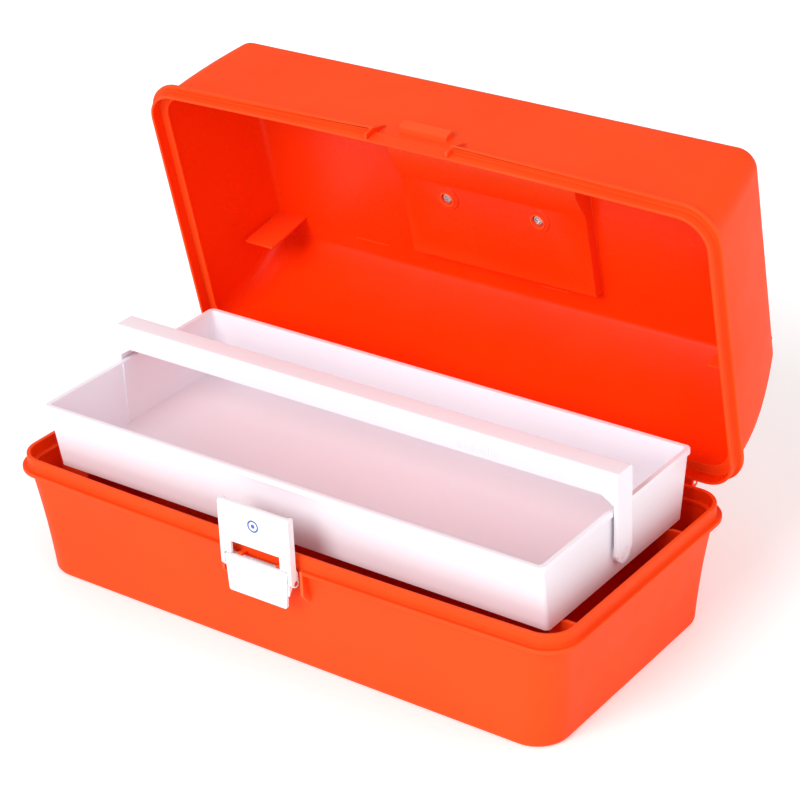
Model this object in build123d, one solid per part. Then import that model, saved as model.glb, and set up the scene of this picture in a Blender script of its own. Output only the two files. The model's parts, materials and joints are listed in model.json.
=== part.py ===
from build123d import *
import math
import os

# Toolbox with lift-out tray. Millimetres. X runs along the box, -Y is the front with the latch,
# +Y the hinge side, Z up. The origin is the middle of the underside of the base.
# Modelled as it stands open: lid back on its stop, latch lever folded, tray seated.

# ---- sizes that drive the rest
rim_half_len = 196.0        # outside of the standing tongue
rim_half_dep = 91.4
flange_top = 72.0           # height of the base flange the lid closes on
lid_top = 154.4             # crown of the lid when shut
lid_open_deg = 78.0
screw_y = -9.5              # the carry handle's screws and pivots
latch_half = 27.6           # inside of the two ribs that frame the latch
well_half_len = 66.0

# ---- base tub
rim_bow = 2.8               # the front of the rim bows out by this much
rim_corner = 18.0
rim_front = -rim_half_dep - rim_bow
tongue_top = flange_top + 8.0
tongue_thick = 2.5
flange_thick = 2.5
flange_out = 3.2            # how far the base flange stands out past the tongue
wall = 2.5
tub_set_in = 1.5            # the tub's ends sit this far inside the tongue
foot_half_len = rim_half_len - 9.6
foot_half_dep = rim_half_dep - 4.2
foot_corner = 21.0
foot_round = 3.5
base_sections = [(0.0, 0.0), (flange_top * 0.5, 0.40), (flange_top - 2.4, 1.0)]

# ---- lid, dimensions as if shut
lid_gap = 0.4               # skirt to tongue
lid_back_gap = 2.0          # more at the back, where the skirt swings past the tongue
skirt_bottom = flange_top + 0.4
skirt_thick = 1.8
skirt_top = tongue_top + 2.4
latch_skirt = 1.1           # the skirt is thinner behind the latch
lid_flange_thick = 2.6
lid_flange_bottom = skirt_top - lid_flange_thick - 1.2
lid_flange_out = 3.6
lid_wall = 2.4
lid_low = skirt_top - 0.8
lid_half_len = (rim_half_len - 0.4, rim_half_len - 11.7)    # at the flange and at the crown
lid_front = (-rim_half_dep - 0.2, -rim_half_dep + 1.6)
lid_back = (rim_half_dep - 0.4, rim_half_dep - 32.0)
lid_corner = (17.0, 12.0)
lid_crown_round = 7.0
lid_rows = 6

# ---- hinge at the back of the rim
hinge_y = rim_half_dep + 9.0
hinge_z = flange_top + 5.0
hinge_r = 3.6
hinge_pin_r = 1.5
hinge_x = rim_half_len - 48.0
hinge_half_len = 21.0
lid_knuckle_half_len = 10.6
knuckle_gap = 0.4

# ---- tray and its handle
tray_half_len_top = rim_half_len - 18.6
tray_half_dep_top = rim_half_dep - 12.8
tray_half_len_bottom = rim_half_len - 19.4
tray_half_dep_bottom = rim_half_dep - 19.8
tray_bottom = tongue_top - 10.9
tray_top = tray_bottom + 44.1
tray_wall = 2.0
tray_corner = 3.0
bead_out = 1.2
bead_tall = 3.6
peg_z = tray_bottom + 14.9
peg_r = 3.5
grip_top = lid_top - 17.8
grip_tall = 15.2
grip_half_dep = 8.0
grip_skin = 2.2
leg_in = tray_half_len_top + 1.6
leg_thick = 2.4
leg_end_r = 6.5
support_y = tray_half_dep_bottom - 14.6
support_thick = 2.2
support_step = tray_bottom - 0.3
support_rise = flange_top

# ---- latch
lever_pivot = (rim_front - 4.0, flange_top - 2.0)
clasp_pivot = (rim_front - 4.0, flange_top - 8.4)
latch_front = rim_front - 8.4
latch_plate = 2.1
lever_half_top = latch_half - 5.2
lever_half_bottom = latch_half - 6.8
lever_low = flange_top - 24.6
lever_high = flange_top - 0.4
lever_side = 2.2
arm_in = lever_half_top + 0.4
arm_out = arm_in + 2.6
clasp_low = flange_top + 8.6
clasp_high = flange_top + 33.8
window_half = latch_half - 10.0
hook_in = rim_front - 4.55
ear_x = latch_half - 13.6
ear_half = 1.6
lever_pin_r = 1.2
stud_r = 1.6
keeper_half = window_half - 0.6
keeper_low = flange_top + 18.4
keeper_high = keeper_low + 6.9
keeper_front = rim_front - 3.3
hook_low = keeper_high + 0.5

# ---- carry handle in the well of the lid
well_front = screw_y - 41.0
well_back = screw_y + 48.0
well_flat = lid_top - 8.2   # outside of the well floor behind, where the brackets sit
well_deep = lid_top - 15.8  # and under the grip
well_skin = 2.2
screw_x = 33.5
screw_head_r = 3.4
screw_shank_r = 1.7
boss_r = 8.0
boss_low = well_flat - 3.2
bail_pivot_z = well_flat + 4.4
bail_reach = 31.0
bail_half = well_half_len - 11.5
bail_leg = 4.6
bail_grip_r = 4.2
trunnion_r = 1.9
fit = 0.06
clear = 0.4


def corner_point(cx, cy, r, deg):
    return (cx + r * math.cos(math.radians(deg)), cy + r * math.sin(math.radians(deg)))


def plan(hx, front, back, bow, r, z):
    """Rounded rectangle with a bowed front, lying at height z."""
    corners = [
        (hx - r, front + r, -90),
        (hx - r, back - r, 0),
        (-hx + r, back - r, 90),
        (-hx + r, front + r, 180),
    ]
    with BuildSketch(Plane.XY.offset(z)) as sketch:
        with BuildLine():
            for i, (cx, cy, start) in enumerate(corners):
                nx, ny, nstart = corners[(i + 1) % 4]
                a = corner_point(cx, cy, r, start)
                m = corner_point(cx, cy, r, start + 45)
                b = corner_point(cx, cy, r, start + 90)
                ThreePointArc(a, m, b)
                c = corner_point(nx, ny, r, nstart)
                if i == 3:
                    ThreePointArc(b, (0, front - bow), c)
                else:
                    Line(b, c)
        make_face()
    return sketch.sketch.faces()[0]


def slab(half_len, front, back, bow, r, z, height):
    return extrude(plan(half_len, front, back, bow, r, z), height, dir=(0, 0, 1))


def ring(outer, inner, z, height):
    return slab(*outer, z, height) - slab(*inner, z - 1, height + 2)


def cylinder_x(r, x0, x1, y, z):
    return Pos((x0 + x1) / 2, y, z) * Rot(0, 90, 0) * Cylinder(r, x1 - x0)


def block(x0, x1, y0, y1, z0, z1):
    return Pos((x0 + x1) / 2, (y0 + y1) / 2, (z0 + z1) / 2) * Box(x1 - x0, y1 - y0, z1 - z0)


def yz_plate(points, x0, x1):
    """Flat outline in the YZ plane, extruded from x0 to x1."""
    with BuildSketch(Plane.YZ.offset(x0)) as sketch:
        with BuildLine():
            Polyline(*points, close=True)
        make_face()
    return extrude(sketch.sketch.faces()[0], x1 - x0, dir=(1, 0, 0))


def xz_plate(points, y0, y1):
    """Flat outline in the XZ plane, extruded from y0 to y1."""
    with BuildSketch(Plane.XZ.offset(-y0)) as sketch:
        with BuildLine():
            Polyline(*points, close=True)
        make_face()
    return extrude(sketch.sketch.faces()[0], y1 - y0, dir=(0, 1, 0))


def opened(solid):
    """Turn a lid part from its shut position back to the open stop."""
    axis = Axis((0, hinge_y, hinge_z), (-1, 0, 0))
    return solid.rotate(axis, lid_open_deg)


def mirrored(solid):
    return solid + mirror(solid, about=Plane.YZ)


# ------------------------------------------------------------------ base
def tub_loft(inset):
    wires = []
    for z, share in base_sections:
        hx = foot_half_len + (rim_half_len - tub_set_in - foot_half_len) * share - inset
        hy = foot_half_dep + (rim_half_dep - 0.8 - foot_half_dep) * share - inset
        r = foot_corner + (rim_corner - foot_corner) * share - inset
        bow = 0.05 + rim_bow * share
        low = inset if z == 0 else z
        wires.append(plan(hx, -hy, hy, bow, r, low).outer_wire())
    return Solid.make_loft(wires)


def base_hinge_part():
    part = None
    for side in (-1, 1):
        x_in = lid_knuckle_half_len + knuckle_gap
        for x0, x1 in ((-hinge_half_len, -x_in), (x_in, hinge_half_len)):
            a = side * hinge_x + x0
            b = side * hinge_x + x1
            knuckle = cylinder_x(hinge_r, a, b, hinge_y, hinge_z)
            web = yz_plate(
                [
                    (rim_half_dep - 2.0, flange_top - 8.0),
                    (hinge_y + hinge_r - 0.8, hinge_z - 1.6),
                    (hinge_y, hinge_z),
                    (hinge_y - 2.6, flange_top - 0.05),
                    (rim_half_dep - 2.0, flange_top - 0.05),
                ],
                a,
                b,
            )
            piece = knuckle + web - cylinder_x(hinge_pin_r, a - 1, b + 1, hinge_y, hinge_z)
            part = piece if part is None else part + piece
    return part


def base_latch_part():
    y, z = lever_pivot
    wall_y = -rim_half_dep - rim_bow + 3.0
    low = flange_top - 21.5
    rib = yz_plate(
        [(wall_y, low), (rim_front + 1.0, low), (rim_front - 3.4, low + 5.5), (rim_front - 3.4, flange_top),
         (wall_y, flange_top)],
        latch_half,
        latch_half + 1.8,
    )
    ear = cylinder_x(2.0, ear_x - ear_half, ear_x + ear_half, y, z)
    ear = ear + yz_plate(
        [(wall_y, z - 7.0), (y + 0.3, z - 1.95), (y + 1.4, z + 1.4), (wall_y, z + 1.6)],
        ear_x - ear_half,
        ear_x + ear_half,
    )
    ear = ear - cylinder_x(lever_pin_r, ear_x - 5, ear_x + 5, y, z)
    return mirrored(rib) + mirrored(ear)


def tray_support(outer):
    wall_x = rim_half_len
    seat_in = tray_half_len_bottom - 9.0
    stop = tray_half_len_bottom + 1.6
    points = [
        (seat_in, support_step),
        (stop, support_step),
        (stop, support_rise),
        (wall_x, support_rise),
        (wall_x, support_step - 42.8),
        (seat_in + 12.0, support_step - 42.8),
        (seat_in, support_step - 8.8),
    ]
    part = None
    for y in (-support_y, support_y):
        rib = xz_plate(points, y - support_thick / 2, y + support_thick / 2) & outer
        part = rib if part is None else part + rib
    return mirrored(part)


def make_base():
    outer = tub_loft(0.0)
    outer = fillet(outer.faces().sort_by(Axis.Z)[0].edges(), foot_round)
    f = rim_half_dep
    tongue_out = (rim_half_len, -f, f, rim_bow, rim_corner)
    t = tongue_thick
    tongue_in = (rim_half_len - t, -f + t, f - t, rim_bow, rim_corner - t)
    e = flange_out
    flange = (rim_half_len + e, -f - e, f + e, rim_bow, rim_corner + e)
    x = rim_half_len - tub_set_in - wall - 0.6
    y = f - wall - 1.4
    through = (x, -y, y, rim_bow, rim_corner - wall)
    rim = ring(flange, through, flange_top - flange_thick, flange_thick)
    rim = rim + ring(tongue_out, tongue_in, flange_top - 1.0, tongue_top - flange_top + 1.0)
    gap = block(-latch_half, latch_half, rim_front - 30, rim_front - 0.1, flange_top - 12, flange_top + 1)
    rim = rim - gap
    ribs = tray_support(outer)
    inner = tub_loft(wall)
    body = outer - inner + rim + ribs
    body = body + base_hinge_part() + base_latch_part()
    return body


# ------------------------------------------------------------------ lid
def lid_loft(inset):
    """Ends and back lean in more and more towards the crown."""
    wires = []
    drop = 1.0 if inset else 0.0
    low = lid_low - drop
    high = lid_top - inset
    for i in range(lid_rows):
        z = low + (high - low) * i / (lid_rows - 1)
        t = max(0.0, (z - lid_low) / (lid_top - lid_low))
        hx = lid_half_len[0] - (lid_half_len[0] - lid_half_len[1]) * t ** 1.8
        front = lid_front[0] + (lid_front[1] - lid_front[0]) * t
        back = lid_back[0] - (lid_back[0] - lid_back[1]) * t ** 2.0
        r = lid_corner[0] + (lid_corner[1] - lid_corner[0]) * t
        bow = rim_bow * (1.02 - t)
        wires.append(plan(hx - inset, front + inset, back - inset, bow, r - inset / 2, z).outer_wire())
    body = Solid.make_loft(wires)
    return fillet(body.faces().sort_by(Axis.Z)[-1].edges(), lid_crown_round - inset)


def lid_rim():
    g = lid_gap
    f = rim_half_dep + g
    hx = rim_half_len + g
    b = rim_half_dep + lid_back_gap
    skirt_in = (hx, -f, b, rim_bow, rim_corner + g)
    s = skirt_thick
    skirt_out = (hx + s, -f - s, b + s, rim_bow, rim_corner + g + s)
    skirt = ring(skirt_out, skirt_in, skirt_bottom, skirt_top - skirt_bottom)
    e = s + lid_flange_out
    flange_out_plan = (hx + e, -f - e, b + s + 1.0, rim_bow, rim_corner + g + e)
    flange = ring(flange_out_plan, skirt_in, lid_flange_bottom, lid_flange_thick)
    gap = block(-latch_half, latch_half, -f - 40, -f - rim_bow - latch_skirt, skirt_bottom - 1, skirt_top + 1)
    w = 4.6
    through = (rim_half_len - w, -f + w, f - w, rim_bow, rim_corner - w + 2)
    ledge = ring(skirt_out, through, skirt_top - 2.2, 2.2)
    return skirt + flange + ledge - gap


def well_profile(drop, grow):
    """Outline of the handle well in the YZ plane, lowered by drop and widened by grow."""
    return [
        (well_front - grow, lid_top + 5),
        (well_front - grow + 2.5, well_deep - drop),
        (well_front + 13.0, well_deep - drop),
        (screw_y - 10.0, well_flat - drop),
        (well_back + grow - 1.5, well_flat - drop),
        (well_back + grow, lid_top + 5),
    ]


def lid_hinge_part():
    part = None
    for side in (-1, 1):
        a = side * hinge_x - lid_knuckle_half_len
        b = side * hinge_x + lid_knuckle_half_len
        knuckle = cylinder_x(hinge_r, a, b, hinge_y, hinge_z)
        web = yz_plate(
            [
                (rim_half_dep + 1.0, hinge_z + 1.6),
                (hinge_y - 2.4, hinge_z + 1.4),
                (hinge_y + 1.0, hinge_z + 1.0),
                (hinge_y + 0.6, hinge_z + hinge_r),
                (rim_half_dep + 1.0, hinge_z + 8.4),
            ],
            a,
            b,
        )
        heel = yz_plate(
            [
                (hinge_y + 0.5, hinge_z - 2.0),
                (hinge_y + 7.6, hinge_z - 2.0),
                (hinge_y + 7.6, hinge_z + 1.0),
                (hinge_y + 1.5, hinge_z + 3.2),
            ],
            a,
            b,
        )
        piece = knuckle + web + heel
        piece = piece - cylinder_x(hinge_pin_r + fit, a - 1, b + 1, hinge_y, hinge_z)
        part = piece if part is None else part + piece
    return part


def make_lid():
    outer = lid_loft(0.0)
    shell = outer - lid_loft(lid_wall)
    well_out = yz_plate(well_profile(well_skin, well_skin), -well_half_len - well_skin, well_half_len + well_skin)
    well_in = yz_plate(well_profile(0.0, 0.0), -well_half_len, well_half_len)
    shell = shell + (well_out & outer) - well_in
    boss = Pos(screw_x, screw_y, (boss_low + well_flat - 1.0) / 2) * Cylinder(boss_r, well_flat - 1.0 - boss_low)
    bosses = mirrored(boss)
    head_hole = Pos(screw_x, screw_y, boss_low) * Cylinder(screw_head_r + clear, 4.4)
    shank_hole = Pos(screw_x, screw_y, boss_low + 3.1) * Cylinder(screw_shank_r + clear, 12.0)
    holes = mirrored(head_hole + shank_hole)
    keeper = yz_plate(
        [
            (lid_front[0] + 0.6, keeper_low - 3.0),
            (keeper_front + 1.0, keeper_low),
            (keeper_front, keeper_low + 0.8),
            (keeper_front, keeper_high),
            (lid_front[0] + 0.6, keeper_high),
        ],
        -keeper_half,
        keeper_half,
    )
    rib = yz_plate(
        [(rim_front - 0.6, skirt_bottom + 0.4), (rim_front - 5.4, skirt_bottom + 0.4),
         (rim_front - 5.4, skirt_top - 3.0), (rim_front - 1.3, skirt_top + 9.0), (rim_front + 2.4, skirt_top + 9.0),
         (rim_front + 2.4, skirt_top), (rim_front - 0.6, skirt_top - 2.0)],
        latch_half,
        latch_half + 1.8,
    )
    body = shell + lid_rim() + bosses - holes + keeper + mirrored(rib) + lid_hinge_part()
    return opened(body)


# ------------------------------------------------------------------ hinge pins
def make_hinge_pin(side):
    x = side * hinge_x
    h = hinge_half_len
    pin = cylinder_x(hinge_pin_r, x - h + 0.2, x + h - 0.2, hinge_y, hinge_z)
    return chamfer(pin.edges(), 0.3)


# ------------------------------------------------------------------ tray
def tray_plan(inset, share, z):
    hx = tray_half_len_bottom + (tray_half_len_top - tray_half_len_bottom) * share - inset
    hy = tray_half_dep_bottom + (tray_half_dep_top - tray_half_dep_bottom) * share - inset
    return plan(hx, -hy, hy, 0.01, tray_corner - inset / 2, z)


def make_tray():
    outer = Solid.make_loft([tray_plan(0, 0, tray_bottom).outer_wire(), tray_plan(0, 1, tray_top).outer_wire()])
    low = tray_bottom + tray_wall
    tall = tray_top - tray_bottom
    share = tray_wall / tall
    inner = Solid.make_loft(
        [tray_plan(tray_wall, share, low).outer_wire(), tray_plan(tray_wall, 1, tray_top + 0.01).outer_wire()]
    )
    b = bead_out
    bead_in = (tray_half_len_top - 0.6, -tray_half_dep_top + 0.6, tray_half_dep_top - 0.6, 0.01, tray_corner)
    bead_over = (tray_half_len_top + b, -tray_half_dep_top - b, tray_half_dep_top + b, 0.01, tray_corner + b)
    bead = ring(bead_over, bead_in, tray_top - bead_tall, bead_tall)
    x0 = tray_half_len_bottom - 0.8
    boss = cylinder_x(6.0, x0, leg_in - clear, 0, peg_z)
    peg = cylinder_x(peg_r, x0, leg_in + leg_thick - 0.1, 0, peg_z)
    return outer - inner + bead + mirrored(boss + peg)


def make_tray_handle():
    low = grip_top - grip_tall
    out = leg_in + leg_thick
    d = grip_half_dep
    bar = fillet(block(-out, out, -d, d, low, grip_top).edges().filter_by(Axis.X).group_by(Axis.Z)[-1], 1.8)
    s = grip_skin
    hollow = block(-out + 12, out - 12, -d + s, d - s, low - 1, grip_top - s)
    bar = bar - hollow
    for i in range(-3, 4):
        bar = bar + block(i * 42.0 - 0.9, i * 42.0 + 0.9, -d + 1, d - 1, low + 2.5, grip_top - 1)
    leg = block(leg_in, out, -d, d, peg_z, grip_top - 2.5) + cylinder_x(leg_end_r, leg_in, out, 0, peg_z)
    leg = leg + block(leg_in, out, -leg_end_r, leg_end_r, peg_z, peg_z + 6)
    gusset = xz_plate([(leg_in + 0.5, low - 5.4), (leg_in + 0.5, low + 1), (leg_in - 8.0, low + 1),
                       (leg_in - 8.0, low)], -d, -d + s)
    leg = leg + gusset + mirror(gusset, about=Plane.XZ)
    leg = leg - cylinder_x(peg_r + fit, leg_in - 1, out + 1, 0, peg_z)
    return bar + mirrored(leg)


# ------------------------------------------------------------------ latch
def make_lever():
    y, z = lever_pivot
    cy, cz = clasp_pivot
    back = latch_front + latch_plate
    with BuildSketch(Plane.XZ.offset(-back)) as face:
        with BuildLine():
            Polyline((-lever_half_top, lever_high), (lever_half_top, lever_high),
                     (lever_half_bottom, lever_low), (-lever_half_bottom, lever_low), close=True)
        make_face()
        fillet(face.vertices().group_by(Axis.Z)[0], 1.6)
    plate = extrude(face.sketch.faces()[0], latch_plate, dir=(0, -1, 0))
    lip = block(-lever_half_bottom + 1.6, lever_half_bottom - 1.6, back - 0.2, back + 1.4, lever_low, lever_low + 2.0)
    x0 = lever_half_top - lever_side
    side = yz_plate(
        [(back - 0.5, lever_high), (y + 1.4, lever_high - 0.6), (y + 2.3, z), (cy + 2.3, cz),
         (cy + 1.0, cz - 2.6), (back - 0.5, cz - 8.0)],
        x0,
        lever_half_top - 0.02,
    )
    side = side - cylinder_x(lever_pin_r + fit, x0 - 1, lever_half_top + 1, y, z)
    side = side - cylinder_x(stud_r, x0 - 1, lever_half_top + 1, cy, cz)
    return plate + lip + mirrored(side)


def make_lever_pin():
    y, z = lever_pivot
    return chamfer(cylinder_x(lever_pin_r, -lever_half_top + 0.2, lever_half_top - 0.2, y, z).edges(), 0.25)


def make_stud(side):
    cy, cz = clasp_pivot
    a = lever_half_top - lever_side - 0.6
    stud = cylinder_x(stud_r, a, arm_out - 0.2, cy, cz)
    stud = stud + cylinder_x(2.1, a - 1.0, a, cy, cz)
    return stud if side > 0 else mirror(stud, about=Plane.YZ)


def make_clasp():
    cy, cz = clasp_pivot
    back = latch_front + latch_plate
    plate = block(-arm_out, arm_out, latch_front, back, clasp_low, clasp_high)
    side = yz_plate(
        [(latch_front, clasp_high), (hook_in + 1.2, clasp_high), (hook_in + 1.2, cz + 9.0), (cy + 2.4, cz + 6.0),
         (cy + 2.4, cz), (cy + 1.7, cz - 1.9), (cy, cz - 2.6), (cy - 1.9, cz - 1.9),
         (latch_front, cz + 1.0)],
        arm_in,
        arm_out,
    )
    frame = block(window_half, arm_in + 0.5, latch_front, back, lever_high + 0.9, clasp_low + 0.5)
    hook = yz_plate(
        [(back - 0.5, clasp_high), (hook_in, clasp_high), (hook_in, hook_low), (back - 0.5, hook_low)],
        -arm_in - 0.5,
        arm_in + 0.5,
    )
    body = plate + hook + mirrored(side) + mirrored(frame)
    top = body.edges().filter_by(Axis.X).group_by(Axis.Z)[-1].sort_by(Axis.Y)[0]
    body = fillet(top, 1.9)
    holes = cylinder_x(stud_r + fit, -arm_out - 1, arm_out + 1, cy, cz)
    return body - holes


# ------------------------------------------------------------------ carry handle
def make_bracket(side):
    x0 = screw_x - 13.0
    x1 = bail_half - bail_leg - clear
    y = screw_y
    z = bail_pivot_z
    body = block(x0, x1, y - 8.0, y + 8.0, well_flat + 0.05, z + 1.2)
    body = fillet(body.edges().filter_by(Axis.X).group_by(Axis.Z)[-1], 3.0)
    body = body + cylinder_x(3.6, x1 - 6.0, x1, y, z)
    body = body - cylinder_x(trunnion_r + fit, x1 - 6.4, x1 + 1, y, z)
    body = body - Pos(screw_x, y, well_flat) * Cylinder(screw_shank_r, 7.0)
    body = opened(body)
    return body if side > 0 else mirror(body, about=Plane.YZ)


def make_screw(side):
    top = well_flat + 3.2
    shank = Pos(screw_x, screw_y, (boss_low + top) / 2) * Cylinder(screw_shank_r, top - boss_low - 0.8)
    head = Pos(screw_x, screw_y, boss_low + 1.15) * Cylinder(screw_head_r, 1.9)
    head = fillet(head.edges().group_by(Axis.Z)[0], 0.8)
    body = shank + head
    slot_z = boss_low + 0.2
    for turn in (0, 90):
        slot = Pos(screw_x, screw_y, slot_z) * Rot(0, 0, turn + 20) * Box(4.2, 1.0, 2.0)
        body = body - slot
    body = opened(body)
    return body if side > 0 else mirror(body, about=Plane.YZ)


def make_bail():
    y = screw_y
    z = bail_pivot_z
    g = bail_grip_r
    grip = cylinder_x(g, -bail_half + 2, bail_half - 2, y - bail_reach, z - 1.6)
    grip = grip + cylinder_x(g + 1.0, -34.0, 34.0, y - bail_reach, z - 1.6)
    leg = yz_plate(
        [(y - bail_reach, z - 1.6 - g), (y - bail_reach, z - 1.6 + g), (y - 1.0, z + 3.4), (y + 2.6, z + 2.4),
         (y + 3.4, z), (y + 2.4, z - 2.6), (y - 1.0, z - 3.4)],
        bail_half - bail_leg,
        bail_half,
    )
    leg = leg + cylinder_x(g, bail_half - bail_leg, bail_half, y - bail_reach, z - 1.6)
    trunnion = cylinder_x(trunnion_r, bail_half - bail_leg - 6.0, bail_half - 1.0, y, z)
    return opened(grip + mirrored(leg + trunnion))


# ------------------------------------------------------------------ write one file per piece
nodes = {
    "base_tub": make_base(),
    "lid_shell": make_lid(),
    "hinge_pin_left": make_hinge_pin(-1),
    "hinge_pin_right": make_hinge_pin(1),
    "tray": make_tray(),
    "tray_handle": make_tray_handle(),
    "latch_lever": make_lever(),
    "latch_lever_pin": make_lever_pin(),
    "latch_stud_left": make_stud(-1),
    "latch_stud_right": make_stud(1),
    "latch_clasp": make_clasp(),
    "handle_bracket_left": make_bracket(-1),
    "handle_bracket_right": make_bracket(1),
    "handle_screw_left": make_screw(-1),
    "handle_screw_right": make_screw(1),
    "carry_handle": make_bail(),
}

os.makedirs("parts", exist_ok=True)
for name, shape in nodes.items():
    solids = shape.solids()
    print(name, len(solids), "solid", round(shape.volume / 1000.0, 2), "cm3")
    export_step(solids[0] if len(solids) == 1 else shape, "parts/" + name + ".step")
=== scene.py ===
# %% [markdown]
# # An open toolbox with a lift-out tray
# The box is moulded in orange plastic, with a white tray, a white over-centre latch and steel
# screws. This script starts from the measured model, dresses each moulding with rounded edges
# and a plastic finish, and adds the small moulded details that only show up close.

# %% Load the measured model
import json
import math

import bmesh
import bpy
from mathutils import Matrix, Vector


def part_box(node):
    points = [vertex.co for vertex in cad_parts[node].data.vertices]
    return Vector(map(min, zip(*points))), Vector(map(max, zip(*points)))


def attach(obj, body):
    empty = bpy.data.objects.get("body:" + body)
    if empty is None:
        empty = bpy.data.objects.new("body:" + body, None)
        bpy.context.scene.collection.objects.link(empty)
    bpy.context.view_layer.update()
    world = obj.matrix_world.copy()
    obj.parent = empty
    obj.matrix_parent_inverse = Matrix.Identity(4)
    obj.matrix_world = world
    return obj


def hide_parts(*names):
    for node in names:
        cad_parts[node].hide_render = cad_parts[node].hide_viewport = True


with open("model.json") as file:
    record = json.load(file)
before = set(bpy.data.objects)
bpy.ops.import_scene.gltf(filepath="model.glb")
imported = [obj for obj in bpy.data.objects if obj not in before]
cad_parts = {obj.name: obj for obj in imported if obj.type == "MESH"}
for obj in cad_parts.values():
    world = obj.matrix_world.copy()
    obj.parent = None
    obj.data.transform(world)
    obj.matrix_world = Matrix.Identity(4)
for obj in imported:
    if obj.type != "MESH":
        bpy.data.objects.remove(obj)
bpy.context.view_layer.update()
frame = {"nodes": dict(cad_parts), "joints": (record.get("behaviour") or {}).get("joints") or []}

MM = 0.001
FLOOR_HALF = 15.0      # metres from the middle of the floor to its edge
FLOOR_GLOW = 0.28
scene = bpy.context.scene
print("nodes", sorted(frame["nodes"]))

# %% [markdown]
# ## Camera
# The camera stands a metre and a half away, to the right of the front and above it, and leans
# a little. It is given as angles round a target point, and three perpendicular directions built
# with cross products make its matrix. A long lens keeps the perspective gentle.

# %% Camera
azimuth, elevation, lean = (math.radians(a) for a in (35.58, 27.17, -1.84))
target = Vector((25.07, 55.41, 121.74)) * MM
distance = 1484.6 * MM
back = Vector((
    math.sin(azimuth) * math.cos(elevation),
    -math.cos(azimuth) * math.cos(elevation),
    math.sin(elevation),
))
level = Vector((0, 0, 1)).cross(back).normalized()
rise = back.cross(level)
right = math.cos(lean) * level + math.sin(lean) * rise
up = math.cos(lean) * rise - math.sin(lean) * level
camera_data = bpy.data.cameras.new("camera")
camera_data.sensor_width = 36.0
camera_data.lens = 111.95
camera_data.shift_x = -0.0606
camera_data.shift_y = -0.0180
camera_data.clip_end = 100.0
camera = bpy.data.objects.new("camera", camera_data)
camera.matrix_world = Matrix.Translation(target + back * distance) @ Matrix(
    (right, up, back)
).transposed().to_4x4()
scene.collection.objects.link(camera)
scene.camera = camera
print("camera at", [round(v, 3) for v in camera.location])

# %% [markdown]
# ## Light and floor
# Plain studio light. A pale world lights every side evenly. A broad sun from the front, as wide
# as a large softbox, makes the front walls a little brighter than the tops, and a weaker one
# lights the right end. The floor is a light table: it glows a little from below, which keeps it
# white and its shadows faint. It is far larger than the view, so its edge never shows.

# %% Light and floor
def sun(name, direction, strength, angle, colour=(1.0, 1.0, 1.0)):
    data = bpy.data.lights.new(name, "SUN")
    data.energy = strength
    data.angle = math.radians(angle)
    data.color = colour
    lamp = bpy.data.objects.new(name, data)
    lamp.rotation_euler = Vector(direction).to_track_quat("Z", "Y").to_euler()
    scene.collection.objects.link(lamp)
    return lamp


sun("key_light", (-0.12, -0.84, 0.54), 1.95, 34)
sun("side_light", (1.0, -0.1, 0.25), 0.85, 60)
world = bpy.data.worlds.new("studio")
world.use_nodes = True
world.node_tree.nodes["Background"].inputs["Color"].default_value = (1.0, 1.0, 1.0, 1.0)
world.node_tree.nodes["Background"].inputs["Strength"].default_value = 0.60
scene.world = world
scene.view_settings.view_transform = "Standard"

bm = bmesh.new()
bmesh.ops.create_grid(bm, x_segments=1, y_segments=1, size=FLOOR_HALF)
floor_mesh = bpy.data.meshes.new("floor")
bm.to_mesh(floor_mesh)
bm.free()
floor = bpy.data.objects.new("floor", floor_mesh)
scene.collection.objects.link(floor)

# %% [markdown]
# ## Finishes
# Injection-moulded polypropylene is dyed through, so its colour hardly changes; what the eye
# reads is its surface. The outside of the box left a spark-eroded mould, which gives a fine
# even grain. Convex edges are painted paler, a painted highlight for the light that rounded
# edges catch, and the inside faces of the orange shells take a deeper red copy of the orange,
# which is painted shade. Each finish is a Principled shader with noise for slow colour drift, a
# fine bump for the grain and a roughness that varies.

# %% Node helpers
def finish(name, rough, ior=1.48, metallic=0.0):
    """A new material, its node and link collections and its Principled shader."""
    made = bpy.data.materials.new(name)
    made.use_nodes = True
    nodes, links = made.node_tree.nodes, made.node_tree.links
    shader = nodes["Principled BSDF"]
    shader.inputs["Roughness"].default_value = rough
    shader.inputs["IOR"].default_value = ior
    shader.inputs["Metallic"].default_value = metallic
    return made, nodes, links, shader


def place(nodes, links, scale):
    """Object coordinates scaled by a Mapping node."""
    where = nodes.new("ShaderNodeTexCoord")
    mapping = nodes.new("ShaderNodeMapping")
    mapping.inputs["Scale"].default_value = scale
    links.new(where.outputs["Object"], mapping.inputs["Vector"])
    return mapping.outputs["Vector"]


def noise(nodes, links, vector, scale, detail=2.0, rough=0.5):
    made = nodes.new("ShaderNodeTexNoise")
    made.inputs["Scale"].default_value = scale
    made.inputs["Detail"].default_value = detail
    made.inputs["Roughness"].default_value = rough
    links.new(vector, made.inputs["Vector"])
    return made.outputs["Fac"]


def span(nodes, links, value, low, high, from_low=0.3, from_high=0.7):
    """Map a noise value to the range low..high."""
    made = nodes.new("ShaderNodeMapRange")
    made.inputs["From Min"].default_value = from_low
    made.inputs["From Max"].default_value = from_high
    made.inputs["To Min"].default_value = low
    made.inputs["To Max"].default_value = high
    links.new(value, made.inputs["Value"])
    return made.outputs["Result"]


def blend_colours(nodes, links, factor, first, second):
    made = nodes.new("ShaderNodeMix")
    made.data_type = "RGBA"
    links.new(factor, made.inputs["Factor"])
    for socket, value in ((made.inputs["A"], first), (made.inputs["B"], second)):
        if isinstance(value, tuple):
            socket.default_value = (*value, 1.0)
        else:
            links.new(value, socket)
    return made.outputs["Result"]


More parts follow.
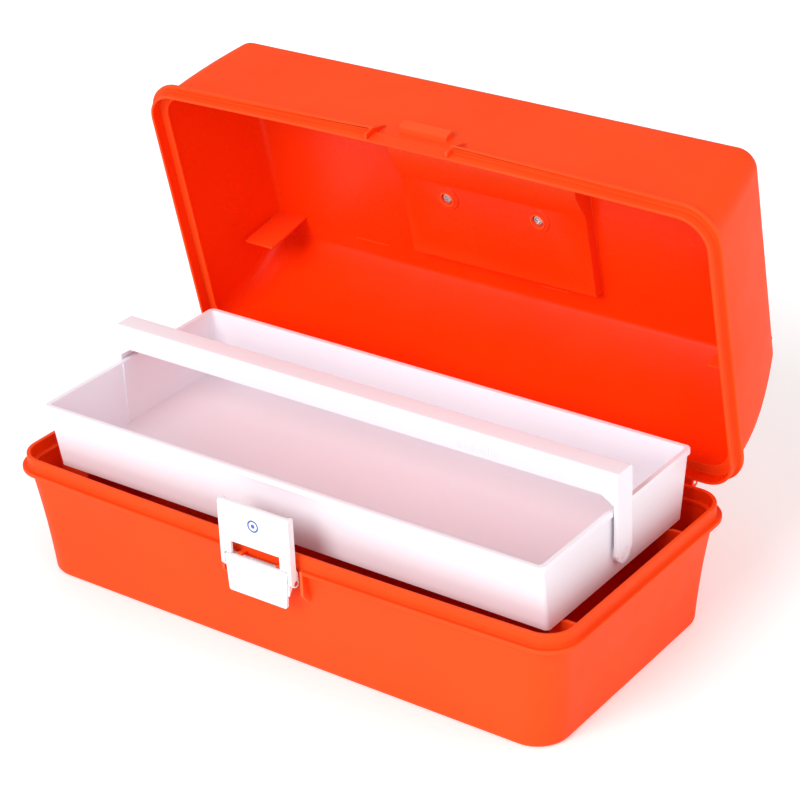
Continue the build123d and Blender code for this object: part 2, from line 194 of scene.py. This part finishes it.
def bump(nodes, links, shader, height, distance, strength=1.0):
    made = nodes.new("ShaderNodeBump")
    made.inputs["Distance"].default_value = distance
    made.inputs["Strength"].default_value = strength
    links.new(height, made.inputs["Height"])
    links.new(made.outputs["Normal"], shader.inputs["Normal"])

# %% Plastic and steel
def moulded(name, deep, pale, rough, grain, grain_mm, specular, edge_highlight=None):
    """Moulded plastic: slow colour drift, fine grain, uneven gloss and a painted highlight on
    edges.
    """
    made, nodes, links, shader = finish(name, rough[0])
    shader.inputs["Specular IOR Level"].default_value = specular
    vector = place(nodes, links, (1.0, 1.0, 1.0))
    drift = span(nodes, links, noise(nodes, links, vector, 9.0), 0.0, 1.0)
    colour = blend_colours(nodes, links, drift, deep, pale)
    # Convex edges, found by pointiness, are painted paler: a painted highlight for light caught on
    # rounded edges.
    if edge_highlight:
        edge = nodes.new("ShaderNodeNewGeometry").outputs["Pointiness"]
        edge_highlight_mask = span(nodes, links, edge, 0.0, 0.7, 0.53, 0.62)
        colour = blend_colours(nodes, links, edge_highlight_mask, colour, edge_highlight)
    links.new(colour, shader.inputs["Base Color"])
    polish = span(nodes, links, noise(nodes, links, vector, 38.0, 3.0), rough[0], rough[1])
    links.new(polish, shader.inputs["Roughness"])
    bump(nodes, links, shader, noise(nodes, links, vector, 1.0 / (grain_mm * MM), 2.0), grain * MM)
    return made


# The last colour in each call is the painted edge highlight.
orange = moulded("orange_grained", (0.95, 0.062, 0.005), (0.98, 0.074, 0.007), (0.50, 0.60),
                 0.06, 0.9, 0.15, (1.0, 0.15, 0.04))
# A deeper red copy of the orange with lower roughness: the polish is real, the deeper red is
# painted shade for the shells' insides.
orange_polished_shaded = moulded("orange_polished_shaded", (0.96, 0.034, 0.0006), (0.98, 0.042, 0.0008),
                        (0.24, 0.30), 0.004, 2.4, 0.20, (1.0, 0.12, 0.02))
white = moulded("white_polished", (0.90, 0.86, 0.92), (0.93, 0.89, 0.95), (0.34, 0.44),
                0.008, 1.2, 0.40, (0.96, 0.94, 0.97))
latch_white = moulded("latch_polished", (0.88, 0.88, 0.91), (0.91, 0.91, 0.94), (0.20, 0.28),
                      0.004, 1.5, 0.50, (0.95, 0.95, 0.96))


def brushed(name, tint, rough):
    """Zinc-plated steel with fine turning marks."""
    made, nodes, links, shader = finish(name, rough[0], metallic=1.0)
    vector = place(nodes, links, (1.0, 1.0, 1.0))
    marks = noise(nodes, links, vector, 900.0, 3.0, 0.6)
    dark = tuple(v * 0.8 for v in tint)
    links.new(blend_colours(nodes, links, marks, dark, tint), shader.inputs["Base Color"])
    links.new(span(nodes, links, marks, *rough), shader.inputs["Roughness"])
    bump(nodes, links, shader, marks, 0.01 * MM)
    return made


steel = brushed("zinc_plated_steel", (0.80, 0.79, 0.77), (0.22, 0.42))
ink = moulded("printed_mark", (0.03, 0.10, 0.42), (0.04, 0.13, 0.48), (0.30, 0.40), 0.003, 0.8, 0.4)

floor_paint, floor_nodes, floor_links, floor_shader = finish("floor_paint", 0.8)
floor_shader.inputs["Specular IOR Level"].default_value = 0.1
floor_shader.inputs["Emission Color"].default_value = (1.0, 1.0, 1.0, 1.0)
floor_shader.inputs["Emission Strength"].default_value = FLOOR_GLOW
floor_vector = place(floor_nodes, floor_links, (1.0, 1.0, 1.0))
floor_links.new(
    blend_colours(floor_nodes, floor_links, noise(floor_nodes, floor_links, floor_vector, 3.0),
                  (0.90, 0.90, 0.90), (0.93, 0.93, 0.93)),
    floor_shader.inputs["Base Color"],
)
floor.data.materials.append(floor_paint)

# %% [markdown]
# ## Rounded mouldings
# No moulded edge is sharp: the mould maker leaves a small radius on each, and it is that radius
# that catches the light as a thin bright line. The measured model has sharp edges, so each large
# piece starts as a copy of it, welded, cleared of the extra edges on its flat faces and bevelled.
# A bevel wider than the face beside it would fold over, so each edge carries a weight that
# narrows its bevel to suit, and edges beside slivers keep none.
# The two orange shells are grained outside and polished inside, as their moulds are, so faces
# that look towards the middle of the shell take the polished finish, whose deeper red is painted
# shade.

# %% Round the edges of a measured piece
WELD = 0.002            # millimetres between points that count as one
SPECK = 0.004           # millimetres across a face too small to keep
FLAT_TURN = 0.04        # degrees between faces that count as one flat face
SLIVER = 0.5            # millimetres across a face whose edges stay sharp
BEVEL_SHARE = 0.38      # how much of the face beside it a bevel may take
SHORTEST = 0.01         # millimetres, the least length an edge is taken to have


def width_beside(face, edge):
    """How far a face runs back from one of its edges."""
    if len(face.verts) < 6:
        return face.calc_area() / max(edge.calc_length(), SHORTEST * MM)
    return 2 * face.calc_area() / face.calc_perimeter()


def dress(node, body, materials, radius, keep=28.0, sharp_half=0.0):
    """Stand a rounded copy of a measured piece in its place.

    Edges near the middle, within sharp_half of it and short, belong to the ribs and ears round
    the latch and stay sharp.
    """
    mesh = frame["nodes"][node].data.copy()
    mesh.name = node + "_rounded"
    mesh.materials.clear()
    for material in materials:
        mesh.materials.append(material)
    low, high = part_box(node)
    middle = (low + high) / 2
    bm = bmesh.new()
    bm.from_mesh(mesh)
    bmesh.ops.remove_doubles(bm, verts=bm.verts, dist=WELD * MM)
    bmesh.ops.dissolve_degenerate(bm, edges=bm.edges, dist=SPECK * MM)
    bmesh.ops.dissolve_limit(
        bm, angle_limit=math.radians(FLAT_TURN), verts=bm.verts, edges=bm.edges
    )
    bmesh.ops.recalc_face_normals(bm, faces=bm.faces)
    for face in bm.faces:
        face.smooth = True
        inward = face.normal.dot(middle - face.calc_center_median()) > 0
        # Inward faces take the second material, whose deeper red is painted shade.
        face.material_index = 1 if inward and len(materials) > 1 else 0
    weight = bm.edges.layers.float.new("bevel_weight_edge")
    for edge in bm.edges:
        edge.smooth = edge.calc_face_angle(0.0) < math.radians(keep)
        centre = (edge.verts[0].co + edge.verts[1].co) / 2
        by_latch = abs(centre.x) < sharp_half * MM and edge.calc_length() < 2 * sharp_half * MM
        if not edge.smooth and len(edge.link_faces) == 2 and not by_latch:
            room = min(width_beside(face, edge) for face in edge.link_faces)
            if room > SLIVER * MM:
                edge[weight] = min(1.0, BEVEL_SHARE * room / (radius * MM))
    count = len(bm.faces)
    bm.to_mesh(mesh)
    bm.free()
    piece = bpy.data.objects.new(node + "_moulding", mesh)
    scene.collection.objects.link(piece)
    rounding = piece.modifiers.new("moulded_edge", "BEVEL")
    rounding.width = radius * MM
    rounding.segments = 2
    rounding.limit_method = "WEIGHT"
    rounding.use_clamp_overlap = False
    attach(piece, body)
    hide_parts(node)
    print(node, count, "faces")
    return piece


shells = [orange, orange_polished_shaded]
dress("base_tub", "base", shells, 0.45, sharp_half=34.0)
dress("lid_shell", "lid", shells, 0.45)
dress("tray", "tray", [white], 0.35)
dress("tray_handle", "tray_handle", [white], 0.35)
dress("latch_clasp", "clasp", [latch_white], 0.3)
dress("latch_lever", "lever", [latch_white], 0.3)

# %% [markdown]
# ## Small parts that keep their measured shape
# The pins, studs and screws are turned or stamped steel. The carry handle and the two brackets it
# swings in are white mouldings. Their measured shapes are already right, so they only take a
# finish.

# %% Finishes on the small parts
steel_nodes = ("hinge_pin_left", "hinge_pin_right", "latch_lever_pin", "latch_stud_left",
               "latch_stud_right", "handle_screw_left", "handle_screw_right")
white_nodes = ("carry_handle", "handle_bracket_left", "handle_bracket_right")
for names, material in ((steel_nodes, steel), (white_nodes, white)):
    for name in names:
        slots = frame["nodes"][name].data.materials
        slots.clear()
        slots.append(material)
print(len(steel_nodes), "steel and", len(white_nodes), "white pieces")

# %% [markdown]
# ## Small moulded details on the lid
# The lid leans back, so its details are placed as if it were shut, where its walls line up with
# the axes, and then turned open about the hinge. The record gives the hinge's place and range.
# The details are the fine ribs left by the ejector blades on the crown, a collar round each screw
# hole, and a thin shelf in each rear corner that stiffens the end wall.

# %% Working in the lid's shut position
hinge = next(joint for joint in frame["joints"] if joint["name"] == "lid_hinge")
hinge_at = Vector(hinge["pos_m"])
open_angle = math.radians(hinge["range_deg"][0])
turn_open = (
    Matrix.Translation(hinge_at)
    @ Matrix.Rotation(open_angle, 4, Vector((1, 0, 0)))
    @ Matrix.Translation(-hinge_at)
)
turn_shut = turn_open.inverted()
lid_shut = [turn_shut @ v.co for v in frame["nodes"]["lid_shell"].data.vertices]
crown_z = max(point.z for point in lid_shut)
screws = []
for name in ("handle_screw_left", "handle_screw_right"):
    low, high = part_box(name)
    screws.append(turn_shut @ ((low + high) / 2))
screw_low = min((turn_shut @ v.co).z for v in frame["nodes"]["handle_screw_left"].data.vertices)
print("crown at", round(crown_z / MM, 1), "mm")
print("screws at", [[round(v / MM, 1) for v in point] for point in screws])


def piece_from(bm, name, body, material, turn=None):
    """Turn a bmesh into a finished piece that rides on a body."""
    bmesh.ops.remove_doubles(bm, verts=bm.verts, dist=0.001 * MM)
    bmesh.ops.recalc_face_normals(bm, faces=bm.faces)
    if turn:
        bmesh.ops.transform(bm, matrix=turn, verts=bm.verts)
    for face in bm.faces:
        face.smooth = True
    for edge in bm.edges:
        edge.smooth = edge.calc_face_angle(0.0) < math.radians(40)
    mesh = bpy.data.meshes.new(name)
    bm.to_mesh(mesh)
    count = len(bm.faces)
    bm.free()
    mesh.materials.append(material)
    piece = bpy.data.objects.new(name, mesh)
    scene.collection.objects.link(piece)
    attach(piece, body)
    print(name, count, "faces")
    return piece


def bar(bm, low, high, radius):
    """A bar with rounded edges between two opposite corners, in millimetres."""
    low, high = Vector(low) * MM, Vector(high) * MM
    made = bmesh.ops.create_cube(bm, size=1.0)["verts"]
    bmesh.ops.scale(bm, vec=high - low, verts=made)
    bmesh.ops.translate(bm, vec=(low + high) / 2, verts=made)
    edges = list(dict.fromkeys(edge for vert in made for edge in vert.link_edges))
    bmesh.ops.bevel(bm, geom=edges, offset=radius * MM, segments=2, profile=0.5, affect="EDGES",
                    material=-1)


# %% Ribs, collars and corner shelves inside the lid
LID_WALL = 2.4
crown = crown_z / MM - LID_WALL
ribs = bmesh.new()
for start, stop in ((-122, -95), (22, 43)):
    bar(ribs, (start, 47.1, crown - 0.6), (stop, 47.9, crown + 0.6), 0.25)
piece_from(ribs, "lid_ejector_ribs", "lid", orange_polished_shaded, turn_open)

collars = bmesh.new()
for at in screws:
    profile = ((4.1, 0.8), (4.1, -0.9), (5.2, -0.9), (5.8, 0.8))
    verts = [collars.verts.new(Vector((x, 0, z)) * MM) for x, z in profile]
    edges = [collars.edges.new(pair) for pair in zip(verts, verts[1:] + verts[:1])]
    bmesh.ops.spin(collars, geom=verts + edges, cent=(0, 0, 0), axis=(0, 0, 1), dvec=(0, 0, 0),
                   angle=math.tau, steps=48, use_merge=True)
    fresh = [vert for vert in collars.verts if not vert.tag]
    bmesh.ops.translate(collars, vec=(at.x, at.y, screw_low), verts=fresh)
    for vert in fresh:
        vert.tag = True
piece_from(collars, "screw_collars", "lid", orange_polished_shaded, turn_open)

shelves = bmesh.new()
for side in (-1, 1):
    near, far = sorted((side * 162.0, side * 184.5))
    bar(shelves, (near, 41.4, 114.0), (far, 43.2, crown + 0.8), 0.5)
piece_from(shelves, "lid_corner_shelves", "lid", orange_polished_shaded, turn_open)

# %% [markdown]
# ## Small moulded details on the tray and the latch
# The tray's end walls each carry a fine upright weld line beside the handle's peg, where two flows
# of plastic met in the mould. The front of the tray handle has a patch of fine ridges for the
# fingers. The latch plate carries a small printed ring and dot.

# %% Weld lines, finger ridges and the printed mark
tray_low, tray_high = (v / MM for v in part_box("tray"))
grip_low, grip_high = (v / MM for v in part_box("tray_handle"))
clasp_low, clasp_high = (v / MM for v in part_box("latch_clasp"))

welds = bmesh.new()
for side in (-1, 1):
    near, far = sorted((side * (tray_high.x - 5.3), side * (tray_high.x - 7.1)))
    bar(welds, (near, -11.6, tray_low.z + 1.5), (far, -10.9, tray_high.z - 1.0), 0.15)
piece_from(welds, "tray_weld_lines", "tray", white)

ridges = bmesh.new()
for i in range(14):
    x = 75.0 + i * 2.1
    low = (x, grip_low.y - 0.30, grip_high.z - 12.6)
    high = (x + 0.9, grip_low.y + 0.32, grip_high.z - 3.2)
    bar(ridges, low, high, 0.2)
piece_from(ridges, "grip_ridges", "tray_handle", white)

mark = bmesh.new()
for inner, outer in ((2.9, 3.9), (0.0, 1.3)):
    made = bmesh.ops.create_circle(mark, cap_ends=True, segments=48, radius=outer * MM)["verts"]
    face = next(iter(made[0].link_faces))
    if inner:
        bmesh.ops.inset_individual(mark, faces=[face], thickness=(outer - inner) * MM)
        bmesh.ops.delete(mark, geom=[face], context="FACES_ONLY")
bmesh.ops.solidify(mark, geom=mark.faces, thickness=0.12 * MM)
middle = Vector((0, clasp_low.y - 0.05, clasp_high.z - 10.5)) * MM
stand = Matrix.Translation(middle) @ Matrix.Rotation(math.radians(90), 4, "X")
piece_from(mark, "latch_mark", "clasp", ink, stand)
